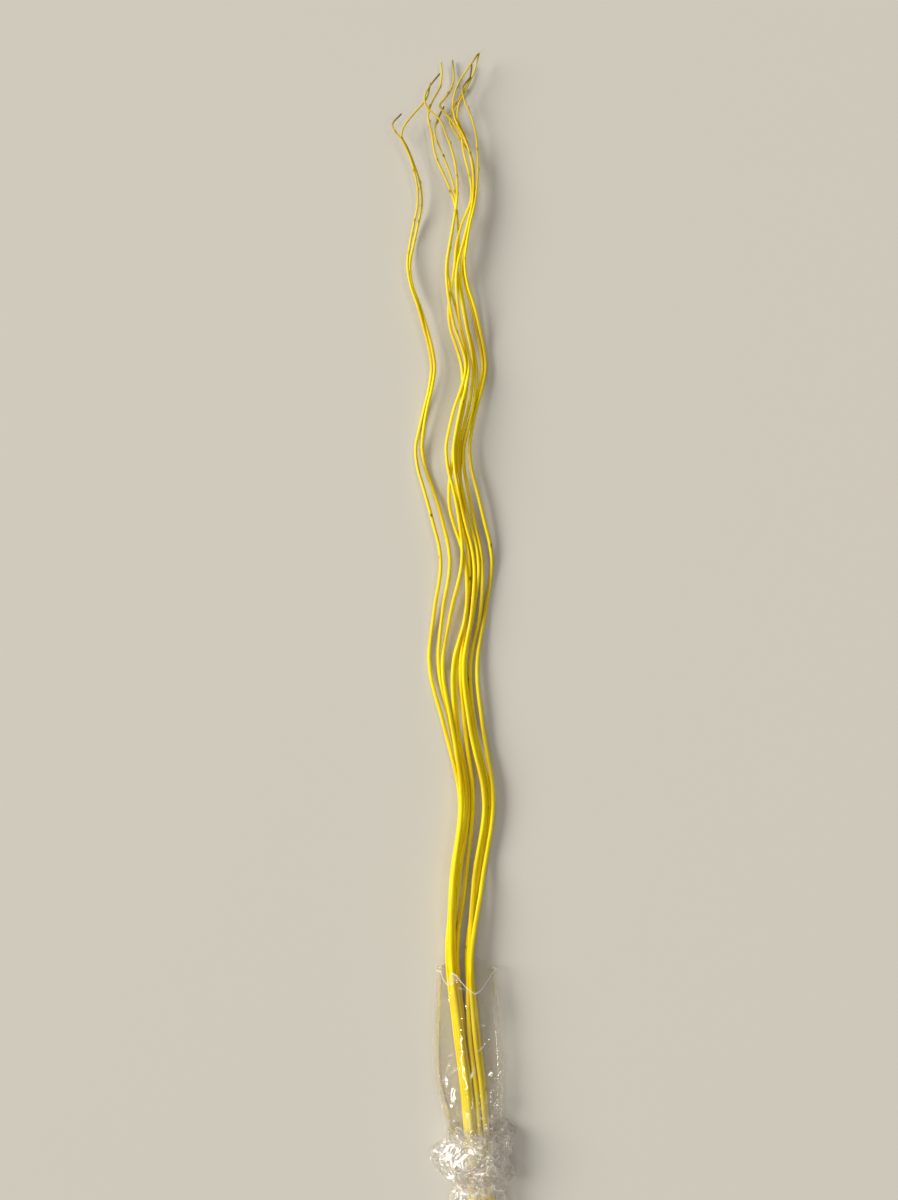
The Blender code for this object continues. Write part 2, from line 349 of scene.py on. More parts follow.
def willow_material():
    made, tree, surface = blank_material("dipped_yellow_willow")
    rod, scar, dry, cut = (add(tree, "ShaderNodeAttribute", attribute_name=name)
                           for name in ("rod", "scar", "dry", "cut"))

    def scaled(*scale):
        place = add(tree, "ShaderNodeMapping", {"Vector": rod.outputs["Vector"], "Scale": scale})
        return place.outputs["Vector"]

    streak_place = scaled(1 / STREAK_WIDTH, 1 / STREAK_WIDTH, 1 / STREAK_LENGTH)
    patch_place = scaled(1 / PATCH_WIDTH, 1 / PATCH_WIDTH, 1 / PATCH_LENGTH)
    streaks = noise(tree, streak_place, 1.0, 3.0, 0.6)["Fac"]
    patches = noise(tree, patch_place, 1.0, 2.0)["Fac"]
    thin_share = add(tree, "ShaderNodeMapRange",
                     {"Value": calculate(tree, "MULTIPLY", streaks, patches),
                      "From Min": THIN_FROM, "From Max": THIN_FULL})
    paint = colour_mix(tree, thin_share.outputs["Result"], linear(PAINT_YELLOW), linear(PAINT_OCHRE))

    dry_colour = colour_mix(tree, streaks, linear(DRY_TIP_BROWN), linear(DRY_TIP_GREY))
    tipped = colour_mix(tree, dry.outputs["Fac"], paint, dry_colour)
    scarred = colour_mix(tree, scar.outputs["Fac"], tipped, linear(SCAR_BROWN))

    from_pith = add(tree, "ShaderNodeVectorMath", {0: scaled(1.0, 1.0, 0.0)}, operation="LENGTH")
    pith = add(tree, "ShaderNodeMapRange",
               {"Value": from_pith.outputs["Value"],
                "From Min": PITH_RADIUS, "From Max": 0.5 * PITH_RADIUS})
    wood = colour_mix(tree, pith.outputs["Result"], linear(CUT_WOOD), linear(PITH_BROWN))
    colour = colour_mix(tree, cut.outputs["Fac"], scarred, wood)

    matt = calculate(tree, "MAXIMUM", dry.outputs["Fac"], cut.outputs["Fac"])
    roughness = add(tree, "ShaderNodeMapRange",
                    {"Value": matt, "To Min": PAINT_ROUGHNESS, "To Max": WOOD_ROUGHNESS})
    relief = add(tree, "ShaderNodeBump", {"Height": streaks, "Strength": 0.35, "Distance": STREAK_RELIEF})
    skin = add(tree, "ShaderNodeBsdfPrincipled",
               {"Base Color": colour, "Roughness": roughness.outputs["Result"], "IOR": PAINT_IOR,
                "Normal": relief.outputs["Normal"]})
    tree.links.new(skin.outputs["BSDF"], surface)
    return made


WILLOW = willow_material()
print("made", WILLOW.name)

# %% [markdown]
# ## Laying the rods side by side
#
# The frame's line becomes even points, one ring step apart. The grown rods are a little
# stouter than the frame's in their upper half, so where two of them lie together they
# would overlap. There each moves away from the other until they only touch.

# %% Even lines
RING_STEP = 2.4 * MM
FINE_POINTS = 4000              # for measuring the way along a rod
UPPER_SWELL = 0.18              # the photographed rods look a little stouter in their upper half
SWELL_PLACES = (0.9, 1.7)       # distances from the cut end where the swell starts and is full
SHORTER_TIPS = {"stem_07": 14 * MM}  # the photographed tip ends this much before the frame's
PRESS_ROUNDS = 10
PRESS_BLUR = 7                  # rings over which one push is averaged
PRESS_ROOM = 1.02               # of the radius, for the rods' uneven thickness
ROD_OFF_FLOOR = 0.3 * MM


def even_line(name):
    """The rod's smooth line as points one ring step apart, with the radius and distance at each."""
    middles, radii = ROD_LINES[name]
    knots = middles[:, 1]
    fine = np.linspace(knots[0], knots[-1], FINE_POINTS)
    both = curve_through(knots, np.column_stack((middles, radii)), fine)
    walked = np.concatenate(([0.0], np.cumsum(np.linalg.norm(np.diff(both[:, :3], axis=0), axis=1))))
    length = walked[-1] - SHORTER_TIPS.get(name, 0.0)
    stops = np.linspace(0.0, length, int(length / RING_STEP))
    line = np.column_stack([np.interp(stops, walked, both[:, axis]) for axis in range(4)])
    return line[:, :3], line[:, 3], stops


def swollen(stops):
    """How many times as stout as the frame's rod: more than once in the upper half."""
    return 1 + UPPER_SWELL * smooth_step(*SWELL_PLACES, stops)


def pressed_apart(rods):
    """
    Where two rods would overlap, each moves half of the overlap away from the other. A push
    is averaged over the rings beside it, so that the rods stay smooth, and a few rounds
    settle what is left.
    """
    window = np.hanning(PRESS_BLUR + 2)[1:-1]
    window /= window.sum()
    stout = {name: PRESS_ROOM * radius * swollen(stops) for name, (_, radius, stops) in rods.items()}
    for _ in range(PRESS_ROUNDS):
        pushes = {name: np.zeros_like(line) for name, (line, _, _) in rods.items()}
        for here, there in itertools.permutations(rods, 2):
            line, other = rods[here][0], rods[there][0]
            squares = (line**2).sum(axis=1)[:, None] + (other**2).sum(axis=1) - 2 * line @ other.T
            near = squares.argmin(axis=1)
            away = line - other[near]
            gap = np.maximum(np.linalg.norm(away, axis=1), 0.1 * MM)
            overlap = np.clip(stout[here] + stout[there][near] - gap, 0, None)
            pushes[here] += (overlap / 2 / gap)[:, None] * away
        for name, (line, _, _) in rods.items():
            for axis in range(3):
                line[:, axis] += np.convolve(pushes[name][:, axis], window, "same")
            line[:, 2] = np.maximum(line[:, 2], stout[name] + ROD_OFF_FLOOR)
    return rods


EVEN_LINES = pressed_apart({name: even_line(name) for name in ROD_NAMES})
print("rings along each rod", [len(stops) for _, _, stops in EVEN_LINES.values()])

# %% [markdown]
# ## Growing a rod
#
# A willow rod is nearly round and thins evenly, but it isn't a machined bar. It swells a
# little at each leaf scar, the scars climb round it in a slow spiral of two turns to five
# leaves, and its thickness wanders by a few hundredths. Near the tip the scars turn into
# small buds. The rod is one grid: rings along the line, each ring a circle whose radius
# depends on both the place along the rod and the angle round it.

# %% Rod shape
RING_POINTS = 20
LEAF_TURN = 144.0               # degrees from one scar to the next: two turns for five leaves
SCAR_SPACING_LOW = 62 * MM
SCAR_SPACING_HIGH = 30 * MM
SCAR_LENGTH = 3.2 * MM
SCAR_SPREAD = 0.55              # radians round the rod
SCAR_HEIGHT = 0.45 * MM
BUD_HEIGHT = 1.5 * MM           # above a scar's own height
BUD_SPREAD = 0.9
BUD_PLACES = (0.42, 0.15)       # before the tip: the last plain scar and the first full bud
BUD_STEEPNESS = 0.55            # how much shorter a bud is on the side of the tip
BUD_RISE = 0.35                 # how much longer it is on the other side
WANDER_SHARE = 0.035            # of the radius
WANDER_LENGTHS = (90 * MM, 37 * MM, 210 * MM)
OVAL_SHARE = 0.03
OVAL_TWIST = 0.3                # metres along the rod for each radian that the oval turns

# Rings beyond each end: share of the radius, and the distance in mm at the cut or in rod
# widths at the tip.
CUT_RINGS = ((1.0, 0.25), (0.96, 0.0), (0.6, -0.1), (0.22, -0.02))
TIP_RINGS = ((0.82, 0.35), (0.55, 0.62), (0.25, 0.75))


def scar_places(length, chance):
    """Distances of the scars: the gap between them shrinks evenly towards the tip."""
    count = int(length / ((SCAR_SPACING_LOW + SCAR_SPACING_HIGH) / 2))
    gaps = np.linspace(SCAR_SPACING_LOW, SCAR_SPACING_HIGH, count) * chance.uniform(0.7, 1.3, count)
    places = np.cumsum(gaps)
    places = places[places < length - SCAR_SPACING_HIGH / 2]
    turns = np.radians(LEAF_TURN) * np.arange(len(places)) + chance.uniform(0, 2 * math.pi)
    return places, turns


def waves(at, sizes, chance):
    """A smooth random wander: one sine for each size, at a random phase, averaged."""
    sines = [np.sin(2 * math.pi * at / size + chance.uniform(0, 2 * math.pi)) for size in sizes]
    return sum(sines) / len(sizes)


def rod_frame(line):
    """Along, sideways and up directions at each point: up is as near to +Z as the rod allows."""
    along = np.gradient(line, axis=0)
    along /= np.linalg.norm(along, axis=1)[:, None]
    side = np.cross(along, (0.0, 0.0, 1.0))
    side /= np.linalg.norm(side, axis=1)[:, None]
    return along, side, np.cross(side, along)


def scar_bells(stops, angles, places, turns, budding):
    """
    Each scar is a bump: a bell along the rod times a bell round it. A bud is a bigger bump
    that rises slowly and drops off steeply on the side of the tip.
    """
    past = stops[:, None] - places
    stretch = np.where(past > 0, 1 - BUD_STEEPNESS * budding, 1 + BUD_RISE * budding)
    off_along = past / SCAR_LENGTH / stretch
    off_round = (angles[None, :, None] - turns + math.pi) % (2 * math.pi) - math.pi
    spread = SCAR_SPREAD + (BUD_SPREAD - SCAR_SPREAD) * budding
    return np.exp(-off_along[:, None] ** 2) * np.exp(-(off_round / spread) ** 2)


def with_ends(line, rings, flat, along, radius):
    """Add the shrinking rings of the cut end and of the tip, to the rod and to its straight twin."""
    butt = [line[0] + share * (rings[0] - line[0]) - back * MM * along[0]
            for share, back in reversed(CUT_RINGS)]
    tip = [line[-1] + share * (rings[-1] - line[-1]) + ahead * 2 * radius[-1] * along[-1]
           for share, ahead in TIP_RINGS]
    flat_butt = [flat[0] * (share, share, 1) for share, _ in reversed(CUT_RINGS)]
    flat_tip = [flat[-1] * (share, share, 1) for share, _ in TIP_RINGS]
    return np.concatenate((butt, rings, tip)), np.concatenate((flat_butt, flat, flat_tip))


print("rod shape ready")

# %% [markdown]
# ## The rods' marks
#
# The shader reads four values from every point: its place on the straight rod, how brown
# a scar or bud makes it, how far it has dried out, and whether it lies on the cut. Each
# rod also needs a value for the one point in the middle of either end.

# %% Ten rods
BARE_SCARS = 0.08               # share of the scars that show brown
BUD_BROWN = 0.45
BROWN_REACH = 1.2               # above 1, the brown covers the whole top of a scar
DRY_TIP = (12 * MM, 85 * MM)    # shortest and longest dry end
DRY_FADE = 40 * MM
DRY_EDGE = 8 * MM               # the paint's edge rises and falls this much round the rod
THIN_AT_TIP = 0.25              # share of bare bark that shows where the paint thins out
THIN_PLACES = (0.45, 0.05)      # before the tip: where it starts to thin and where it stays thin


def mark_rod(rod, flat, brown, dry_from, angles, length):
    """Store the four values, ring by ring and then for the middles of the cut and of the tip."""
    capped = np.zeros(flat.shape[:2])
    capped[:len(CUT_RINGS)] = 1.0
    spotted = np.zeros(flat.shape[:2])
    spotted[len(CUT_RINGS):-len(TIP_RINGS)] = np.clip(brown, 0, 1)
    thin_from, thin_full = (length - before for before in THIN_PLACES)
    dry = smooth_step(dry_from, dry_from + DRY_FADE, flat[:, :, 2] + DRY_EDGE * np.sin(3 * angles))
    dry = np.maximum(dry, THIN_AT_TIP * smooth_step(thin_from, thin_full, flat[:, :, 2]))
    ends = ((0.0, 0.0, 0.0), (0.0, 0.0, length))
    paint_value(rod, "rod", np.concatenate((flat.reshape(-1, 3), ends)))
    paint_value(rod, "scar", np.concatenate((spotted.ravel(), (0, 0))))
    paint_value(rod, "dry", np.concatenate((dry.ravel(), (0, 1))))
    paint_value(rod, "cut", np.concatenate((capped.ravel(), (1, 0))))


def grow_rod(name, number):
    chance = np.random.default_rng(1000 + number)
    line, radius, stops = EVEN_LINES[name]
    along, side, up = rod_frame(line)
    length = stops[-1]
    angles = np.linspace(0, 2 * math.pi, RING_POINTS, endpoint=False)

    places, turns = scar_places(length, chance)
    budding = smooth_step(length - BUD_PLACES[0], length - BUD_PLACES[1], places)
    bells = scar_bells(stops, angles, places, turns, budding)
    bare = chance.random(len(places)) < BARE_SCARS
    thickness = swollen(stops) + WANDER_SHARE * waves(stops, WANDER_LENGTHS, chance)
    oval = 1 + OVAL_SHARE * np.cos(2 * (angles[None, :] - stops[:, None] / OVAL_TWIST))
    bumps = (bells * (SCAR_HEIGHT + BUD_HEIGHT * budding)).sum(axis=2)
    reach = (radius * thickness)[:, None] * oval + bumps

    sideways, upward = reach * np.cos(angles), reach * np.sin(angles)
    rings = line[:, None] + sideways[:, :, None] * side[:, None] + upward[:, :, None] * up[:, None]
    flat = np.stack((sideways, upward, np.broadcast_to(stops[:, None], reach.shape)), axis=2)
    rings, flat = with_ends(line, rings, flat, along, radius)
    rod = ring_mesh(name.replace("stem", "willow_rod"), rings, WILLOW, ends_closed=True)

    brown = (bells * np.maximum(bare, BUD_BROWN * budding)).sum(axis=2) * BROWN_REACH
    mark_rod(rod, flat, brown, length - chance.uniform(*DRY_TIP), angles, length)
    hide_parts(name)
    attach(rod, "root")
    return rod


RODS = [grow_rod(name, number) for number, name in enumerate(ROD_NAMES)]
print(len(RODS), "rods,", len(RODS[0].data.polygons), "faces in the first")

# %% [markdown]
# ## The rubber band
#
# The band is natural rubber, pulled tight round the rods, so its path is the tightest loop
# round the frame's band. Its section is a flat strip with rounded edges: a superellipse,
# which is an ellipse with a power of four in place of two, so that it is nearly square.

# %% Rubber band
BAND_SECTION_POINTS = 16
BAND_PATH_POINTS = 200
BAND_POWER = 4.0
BAND_WALL = 1.0 * MM
BAND_BLUR = 3                   # points on each side that round off the loop's corners
RUBBER_AMBER = "#A9782C"
RUBBER_PALE = "#C79A4A"


def rubber_material():
    """Natural rubber, moulded and cut into bands: amber, matt, slightly cloudy."""
    made, tree, surface = blank_material("natural_rubber")
    place = add(tree, "ShaderNodeTexCoord")
    cloud = noise(tree, place.outputs["Object"], 180.0, 2.0)["Fac"]
    colour = colour_mix(tree, cloud, linear(RUBBER_AMBER), linear(RUBBER_PALE))
    relief = add(tree, "ShaderNodeBump", {"Height": cloud, "Strength": 0.2, "Distance": 0.2 * MM})
    skin = add(tree, "ShaderNodeBsdfPrincipled",
               {"Base Color": colour, "Roughness": 0.55, "IOR": 1.52, "Normal": relief.outputs["Normal"]})
    tree.links.new(skin.outputs["BSDF"], surface)
    return made


def tightest_loop(points):
    """
    The shortest loop round flat points. It walks them from left to right and back again,
    and drops each corner where the loop would bend inward.
    """
    ordered = points[np.lexsort((points[:, 1], points[:, 0]))]
    loop = []
    for one_way in (ordered, ordered[::-1]):
        start = len(loop)
        for point in one_way:
            while len(loop) - start >= 2:
                last, new = loop[-1] - loop[-2], point - loop[-2]
                if last[0] * new[1] - last[1] * new[0] > 0:
                    break
                loop.pop()
            loop.append(point)
        loop.pop()
    return np.array(loop + loop[:1])


def band_path():
    """Even points along the middle of the band's wall, and the band's two edges in Y."""
    points = node_points("tie_band")
    loop = tightest_loop(points[:, [0, 2]])
    walked = np.concatenate(([0.0], np.cumsum(np.linalg.norm(np.diff(loop, axis=0), axis=1))))
    stops = np.linspace(0.0, walked[-1], BAND_PATH_POINTS, endpoint=False)
    path = np.column_stack([np.interp(stops, walked, loop[:, axis]) for axis in (0, 1)])
    beside = [np.roll(path, shift, axis=0) for shift in range(-BAND_BLUR, BAND_BLUR + 1)]
    return sum(beside) / len(beside), points[:, 1].min(), points[:, 1].max()


def make_band():
    path, near, far = band_path()
    ahead = np.roll(path, -1, axis=0) - np.roll(path, 1, axis=0)
    outward = np.column_stack((ahead[:, 1], -ahead[:, 0])) / np.linalg.norm(ahead, axis=1)[:, None]
    xs, zs = (path - BAND_WALL / 2 * outward).T
    section = np.linspace(0, 2 * math.pi, BAND_SECTION_POINTS, endpoint=False)
    squared = [np.sign(f(section)) * np.abs(f(section)) ** (2 / BAND_POWER) for f in (np.cos, np.sin)]
    across = squared[0] * (far - near) / 2
    thick = squared[1] * BAND_WALL / 2
    rings = np.stack((xs[:, None] + outward[:, :1] * thick,
                      np.broadcast_to((near + far) / 2 + across, (len(xs), len(across))),
                      zs[:, None] + outward[:, 1:] * thick), axis=2)
    rings = np.concatenate((rings, rings[:1]))
    band = ring_mesh("rubber_band", rings, rubber_material())
    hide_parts("tie_band")
    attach(band, "root")
    return band


BAND = make_band()
print("rubber band", len(BAND.data.polygons), "faces")

# %% [markdown]
# ## Clear film
#
# The sleeve is packing film, blown and slit, about 0.05 mm thick. Film that thin doesn't
# bend what is behind it. It mirrors a little of the light at each face, more where it is
# seen edge on, and it whitens for good along each crease. So the shader mixes a see-through
# part, a mirror part by Fresnel, and a thin white haze that grows with the crumpling. The
# white along the creases is partly that whitening and partly painted highlight: it stands
# in for the glints that the creases catch, whatever the light.
#
# The finest creases are thinner than the mesh can bend. They are white lines on the
# borders between Voronoi cells, and a second noise shows only some stretches of them. These
# lines are partly the whitening of creased film and partly painted glints.

# %% Clear film material
FILM_TINT = "#FDFCFA"           # what one layer lets through
FILM_HAZE = "#EFEBE3"
FILM_IOR = 1.5
MIRROR_SHARE = 1.5              # both faces of the film mirror, and the far one through the near one
MIRROR_MOST = 0.30              # thin film seen edge on scatters more than it mirrors
SMOOTH_HAZE = 0.012
BUNCHED_HAZE = 0.17
# whiteness along the creases: partly their whitening, partly painted highlight for glints
CREASE_HAZE_AND_GLINT = 0.5
FILM_ROUGHNESS = 0.3            # of the haze
GLOSS_ROUGHNESS = 0.09          # of the mirror part
PATCHES = 45.0                  # noise features per metre of film: patches of haze
LINE_CELL = 36 * MM             # between the fine crease lines
LINE_WIDTH = 1.0 * MM
# whiteness of the fine lines: partly whitening, partly painted glint
LINE_HAZE_AND_GLINT = 0.55
LINE_WANDER = 0.35 * LINE_CELL  # how far the lines leave their straight way
WANDERS = 24.0                  # noise features per metre
STRETCHES = 38.0
STRETCH_SHOWN = (0.58, 0.72)    # noise value where a line starts to show and where it is full
STRETCH_BUNCHED = 0.22          # added to that noise in crumpled film, so that more lines show


def film_haze_and_glints(tree, flat, bunch, crease_white_and_glint):
    """Patchy haze of crumpled film, plus the whiteness of its modelled creases: partly their whitening,
    partly painted highlight for their glints.
    """
    bunched = calculate(tree, "MULTIPLY", noise(tree, flat, PATCHES, 3.0, 0.6)["Fac"], bunch)
    haze = calculate(tree, "MULTIPLY_ADD", bunched, 2 * BUNCHED_HAZE, SMOOTH_HAZE)
    return calculate(tree, "MULTIPLY_ADD", crease_white_and_glint, CREASE_HAZE_AND_GLINT, haze)


def fine_white_and_glint_lines(tree, flat, bunch):
    """1 on a fine whitened line and 0 beside it: some stretches of the borders between cells. These are
    partly creased film's whitening, partly painted glints.
    """
    wander = noise(tree, flat, WANDERS, 1.0)["Color"]
    aside = add(tree, "ShaderNodeVectorMath", {0: wander, 1: (LINE_WANDER,) * 3, 2: flat},
                operation="MULTIPLY_ADD")
    cells = add(tree, "ShaderNodeTexVoronoi", {"Vector": aside.outputs["Vector"], "Scale": 1 / LINE_CELL},
                feature="DISTANCE_TO_EDGE")
    line = add(tree, "ShaderNodeMapRange",
               {"Value": cells.outputs["Distance"], "From Min": LINE_WIDTH / LINE_CELL, "From Max": 0.0})
    stretches = noise(tree, flat, STRETCHES, 1.0)["Fac"]
    often = calculate(tree, "MULTIPLY_ADD", bunch, STRETCH_BUNCHED, stretches)
    shown = add(tree, "ShaderNodeMapRange",
                {"Value": often, "From Min": STRETCH_SHOWN[0], "From Max": STRETCH_SHOWN[1]})
    return calculate(tree, "MULTIPLY", line.outputs["Result"], shown.outputs["Result"])


def film_material():
    made, tree, surface = blank_material("clear_packing_film")
    bunch = add(tree, "ShaderNodeAttribute", attribute_name="bunch").outputs["Fac"]
    crease_white_and_glint = add(tree, "ShaderNodeAttribute", attribute_name="crease_white_and_glint").outputs["Fac"]
    flat = add(tree, "ShaderNodeAttribute", attribute_name="flat").outputs["Vector"]
    glint_lines = fine_white_and_glint_lines(tree, flat, bunch)
    haze = film_haze_and_glints(tree, flat, bunch, crease_white_and_glint)
    # the haze, plus the fine lines' whiteness, which is partly painted glint
    whiter_with_glints = calculate(tree, "MULTIPLY_ADD", glint_lines, LINE_HAZE_AND_GLINT, haze, use_clamp=True)

    clear = add(tree, "ShaderNodeBsdfTransparent", {"Color": linear(FILM_TINT)})
    milky = add(tree, "ShaderNodeBsdfPrincipled",
                {"Base Color": linear(FILM_HAZE), "Roughness": FILM_ROUGHNESS, "IOR": FILM_IOR})
    body = add(tree, "ShaderNodeMixShader",
               {0: whiter_with_glints, 1: clear.outputs["BSDF"], 2: milky.outputs["BSDF"]})
    edge_on = add(tree, "ShaderNodeFresnel", {"IOR": FILM_IOR})
    doubled = calculate(tree, "MULTIPLY", edge_on.outputs["Fac"], MIRROR_SHARE)
    mirrored = calculate(tree, "MINIMUM", doubled, MIRROR_MOST)
    mirror = add(tree, "ShaderNodeBsdfAnisotropic",
                 {"Color": (1.0, 1.0, 1.0, 1.0), "Roughness": GLOSS_ROUGHNESS})
    both = add(tree, "ShaderNodeMixShader",
               {0: mirrored, 1: body.outputs["Shader"], 2: mirror.outputs["BSDF"]})
    tree.links.new(both.outputs["Shader"], surface)
    return made


FILM = film_material()
print("made", FILM.name)

# %% [markdown]
# ## How the sleeve lies
#
# The sleeve is one tube of film, 200 mm wide when flat. It stands open round the rods at
# its mouth and was pushed down towards the cut ends, so it doubles back on itself there:
# down outside, up again inside, and down once more to its lower end. That makes three
# layers on each side of the cut ends, which is why they are hard to see.
#
# The tube is again a grid. One parameter walks along the film, through both folds. The
# other goes round it: over the top from the left edge to the right one, and back along
# the floor. The tube was made by welding a sheet's two edges, so the grid stays open there,
# and the weld sticks out as a narrow fin on the left.

# %% Sleeve outline from the frame
LOWER_FOLD = 0.055              # distances from the cut ends
UPPER_FOLD = 0.185
FOOT_END = -0.045
FOLD_ROUNDING = 4 * MM
FOLD_BLEND = 10 * MM            # before and after a fold, where one layer becomes the next
OUT_AGAIN = (0.125, 0.07)       # before the lower end, where the innermost layer widens again
OUT_SHARE = 0.85
ALONG_ROWS = 410
CUT_ENDS_Y = min(middles[0, 1] for middles, _ in ROD_LINES.values())

# The mouth's rim: share of the width from left to right, distance from the cut ends. The
# front dips twice, with a small flap between, and its sides lie lower than its back.
RIM_HIGH = 0.546
RIM_TOP = (
    (0.0, 0.524), (0.05, 0.529), (0.08, 0.532), (0.12, 0.519), (0.165, 0.512), (0.205, 0.508),
    (0.24, 0.532), (0.27, 0.534), (0.34, 0.529), (0.375, 0.523), (0.50, 0.507), (0.643, 0.495),
    (0.73, 0.499), (0.817, 0.5075), (0.904, 0.5175), (0.968, 0.526), (1.0, 0.524),
)
RIM_BASE = (
    (0.0, 0.524), (0.10, 0.535), (0.25, 0.541), (0.5, 0.544), (0.75, 0.543), (0.9, 0.536), (1.0, 0.524),
)


def sleeve_rows():
    """Left edge, right edge and height of the frame's sleeve at each of its rows."""
    points = node_points("film_sleeve")
    rows = np.unique(points[:, 1])
    sides = [points[points[:, 1] == row] for row in rows]
    table = [(side[:, 0].min(), side[:, 0].max(), side[:, 2].max()) for side in sides]
    return rows - CUT_ENDS_Y, np.array(table)


def walk_through_folds(rim):
    """
    Distance from the cut ends and depth in layers, row by row from the mouth. The film's
    own length is shared out evenly among the rows. Straight stretches meet in the folds,
    and a running mean rounds them.
    """
    down = rim - LOWER_FOLD
    up = down + UPPER_FOLD - LOWER_FOLD
    stops = (0.0, down, up, up + UPPER_FOLD - FOOT_END)
    walk = np.linspace(0, stops[-1], ALONG_ROWS)
    place = np.interp(walk, stops, (rim, LOWER_FOLD, UPPER_FOLD, FOOT_END))
    depth = sum(smooth_step(fold - FOLD_BLEND, fold + FOLD_BLEND, walk) for fold in (down, up))
    out_again = smooth_step(stops[-1] - OUT_AGAIN[0], stops[-1] - OUT_AGAIN[1], walk)
    spread = walk[:, None] - walk[None, :]
    weight = np.exp(-(spread / FOLD_ROUNDING) ** 2)
    rounded = weight @ place / weight.sum(axis=1)
    rounded[[0, -1]] = place[[0, -1]]
    return rounded, depth * (1 - OUT_SHARE * out_again), walk


rows, table = sleeve_rows()
places, depths, walk = walk_through_folds(RIM_HIGH)
print("film length", round(walk[-1], 3), "m, rows of the frame", len(rows))

# %% [markdown]
# ## Crumples
#
# Film doesn't stretch, so when it is pushed it folds into flat facets with sharp creases
# between them. A random height at each corner of a triangle grid, joined by flat
# triangles, has just that shape. Bending the grid's own coordinates with slow sines makes
# the facets uneven. Where such a height passes through zero, its size has a sharp valley,
# so minus its size has a sharp ridge: that makes the long thin creases that catch light.

# %% Facet function
FACET_ROWS = 120                # of random corners along the tube
FIRST_ROW = 40                  # keeps the row numbers above zero where the grid is bent


def facets(around, along, size, rim_length, chance):
    """
    Heights between -1 and 1. The point is put on a grid of triangles: each square cell is
    split along its diagonal, and the height is the flat mix of its triangle's corners.
    The pattern repeats once round the tube, so it has no seam.
    """
    cells = max(3, round(rim_length / size))
    bend_a = 0.32 * np.sin(2 * math.pi * along / (3.1 * size) + chance.uniform(0, 6))
    bend_b = 0.45 * np.sin(2 * math.pi * (2 * around + chance.uniform()) + along / size)
    a = around * cells + bend_a
    b = along / size + bend_b + FIRST_ROW
    low_a, low_b = np.floor(a).astype(int), np.floor(b).astype(int)
    part_a, part_b = a - low_a, b - low_b
    corners = chance.uniform(-1, 1, (cells, FACET_ROWS))
    here = corners[low_a % cells, low_b % FACET_ROWS]
    next_a = corners[(low_a + 1) % cells, low_b % FACET_ROWS]
    next_b = corners[low_a % cells, (low_b + 1) % FACET_ROWS]
    both = corners[(low_a + 1) % cells, (low_b + 1) % FACET_ROWS]
    first = here + part_a * (next_a - here) + part_b * (both - next_a)
    second = here + part_b * (next_b - here) + part_a * (both - next_b)
    return np.where(part_a > part_b, first, second)


print("facets ready")

# %% [markdown]
# ## The sleeve's plain shape
#
# Each row is a loaf-shaped section from the frame's outline: a flat base, then one arc.
# Inner layers are a little smaller. In the crumpled part the edges leave the frame's
# outline, so that one lobe sticks out on each side, as in the photograph.

# %% Plain sleeve
ROUND_POINTS = 236
TOP_SHARE = 0.66                # of the way round that lies above the base
BASE_HALF_ANGLE = 0.6094        # where the arc meets the flat base, in radians below level
WIDEST_SHARE = 0.24             # height of the widest place, as a share of the height
LAYER_SHRINK = 0.12             # each inner layer is this much narrower
LAYER_SINK = 0.7 * LAYER_SHRINK
LAYER_GAP = 0.5 * MM            # at the base
FILM_OFF_FLOOR = 0.3 * MM
RIM_FADE = 0.20                 # metres of film over which the rim's wave fades out

# How far the crumpled film's left and right edges lie from the frame's, in mm to the right:
# distance from the cut ends, left, right.
LOBES = (
    (-45, 0, 0), (27, 24, -17), (50, 29, -12), (73, 36, -4), (89, 28, -11),
    (106, 20, -18), (122, 5, -6), (132, 12, 1), (144, 22, 5), (162, 30, 10),
    (181, 22, 2), (190, 18, -5), (240, 15, -4), (283, 6, 0), (350, 0, 0),
)

# The way round, with the first and the last point twice for the weld, and what each point
# of it is: on the arc or on the base, how far along either, and how far across from the left.
turn = np.concatenate(([0.0], np.linspace(0, 1, ROUND_POINTS), [1.0]))
on_arc = turn < TOP_SHARE
arc_share = np.clip(turn / TOP_SHARE, 0, 1)
base_share = np.clip((turn - TOP_SHARE) / (1 - TOP_SHARE), 0, 1)
angle = math.pi + BASE_HALF_ANGLE - (math.pi + 2 * BASE_HALF_ANGLE) * arc_share
across = np.where(on_arc, (1 + np.cos(angle)) / 2, 1 - base_share)


def sleeve_places():
    """Distance of each point from the cut ends. The rim's wave fades out on the way down."""
    above = np.where(np.sin(angle) > 0, across, np.round(across))
    rim = np.where(on_arc, np.interp(above, *zip(*RIM_TOP)), np.interp(across, *zip(*RIM_BASE)))
    fade = 1 - smooth_step(0.0, RIM_FADE, walk)
    return places[:, None] + fade[:, None] * (rim - RIM_HIGH)


def plain_section(place, depth):
    """Sideways place and height of each point. The arc bends in below its widest place."""
    held = np.clip(place, rows[0], rows[-1])
    outline = curve_through(rows, table, held.ravel()).reshape(*place.shape, 3)
    lobe_at, lobe_left, lobe_right = np.array(LOBES).T * MM
    left = outline[:, :, 0] + np.interp(place, lobe_at, lobe_left)
    right = outline[:, :, 1] + np.interp(place, lobe_at, lobe_right)
    middle = (left + right) / 2
    half = (right - left) / 2 * (1 - LAYER_SHRINK * depth)
    height = outline[:, :, 2] * (1 - LAYER_SINK * depth)
    widest = WIDEST_SHARE * height
    rise = np.sin(angle)
    below = widest * rise / math.sin(BASE_HALF_ANGLE)
    arc_z = widest + np.where(rise > 0, (height - widest) * rise, below)
    base_x = middle + half * math.cos(BASE_HALF_ANGLE) * (1 - 2 * base_share)
    x = np.where(on_arc, middle + half * np.cos(angle), base_x)
    z = np.where(on_arc, arc_z, 0.0) + FILM_OFF_FLOOR + LAYER_GAP * depth
    return x, z


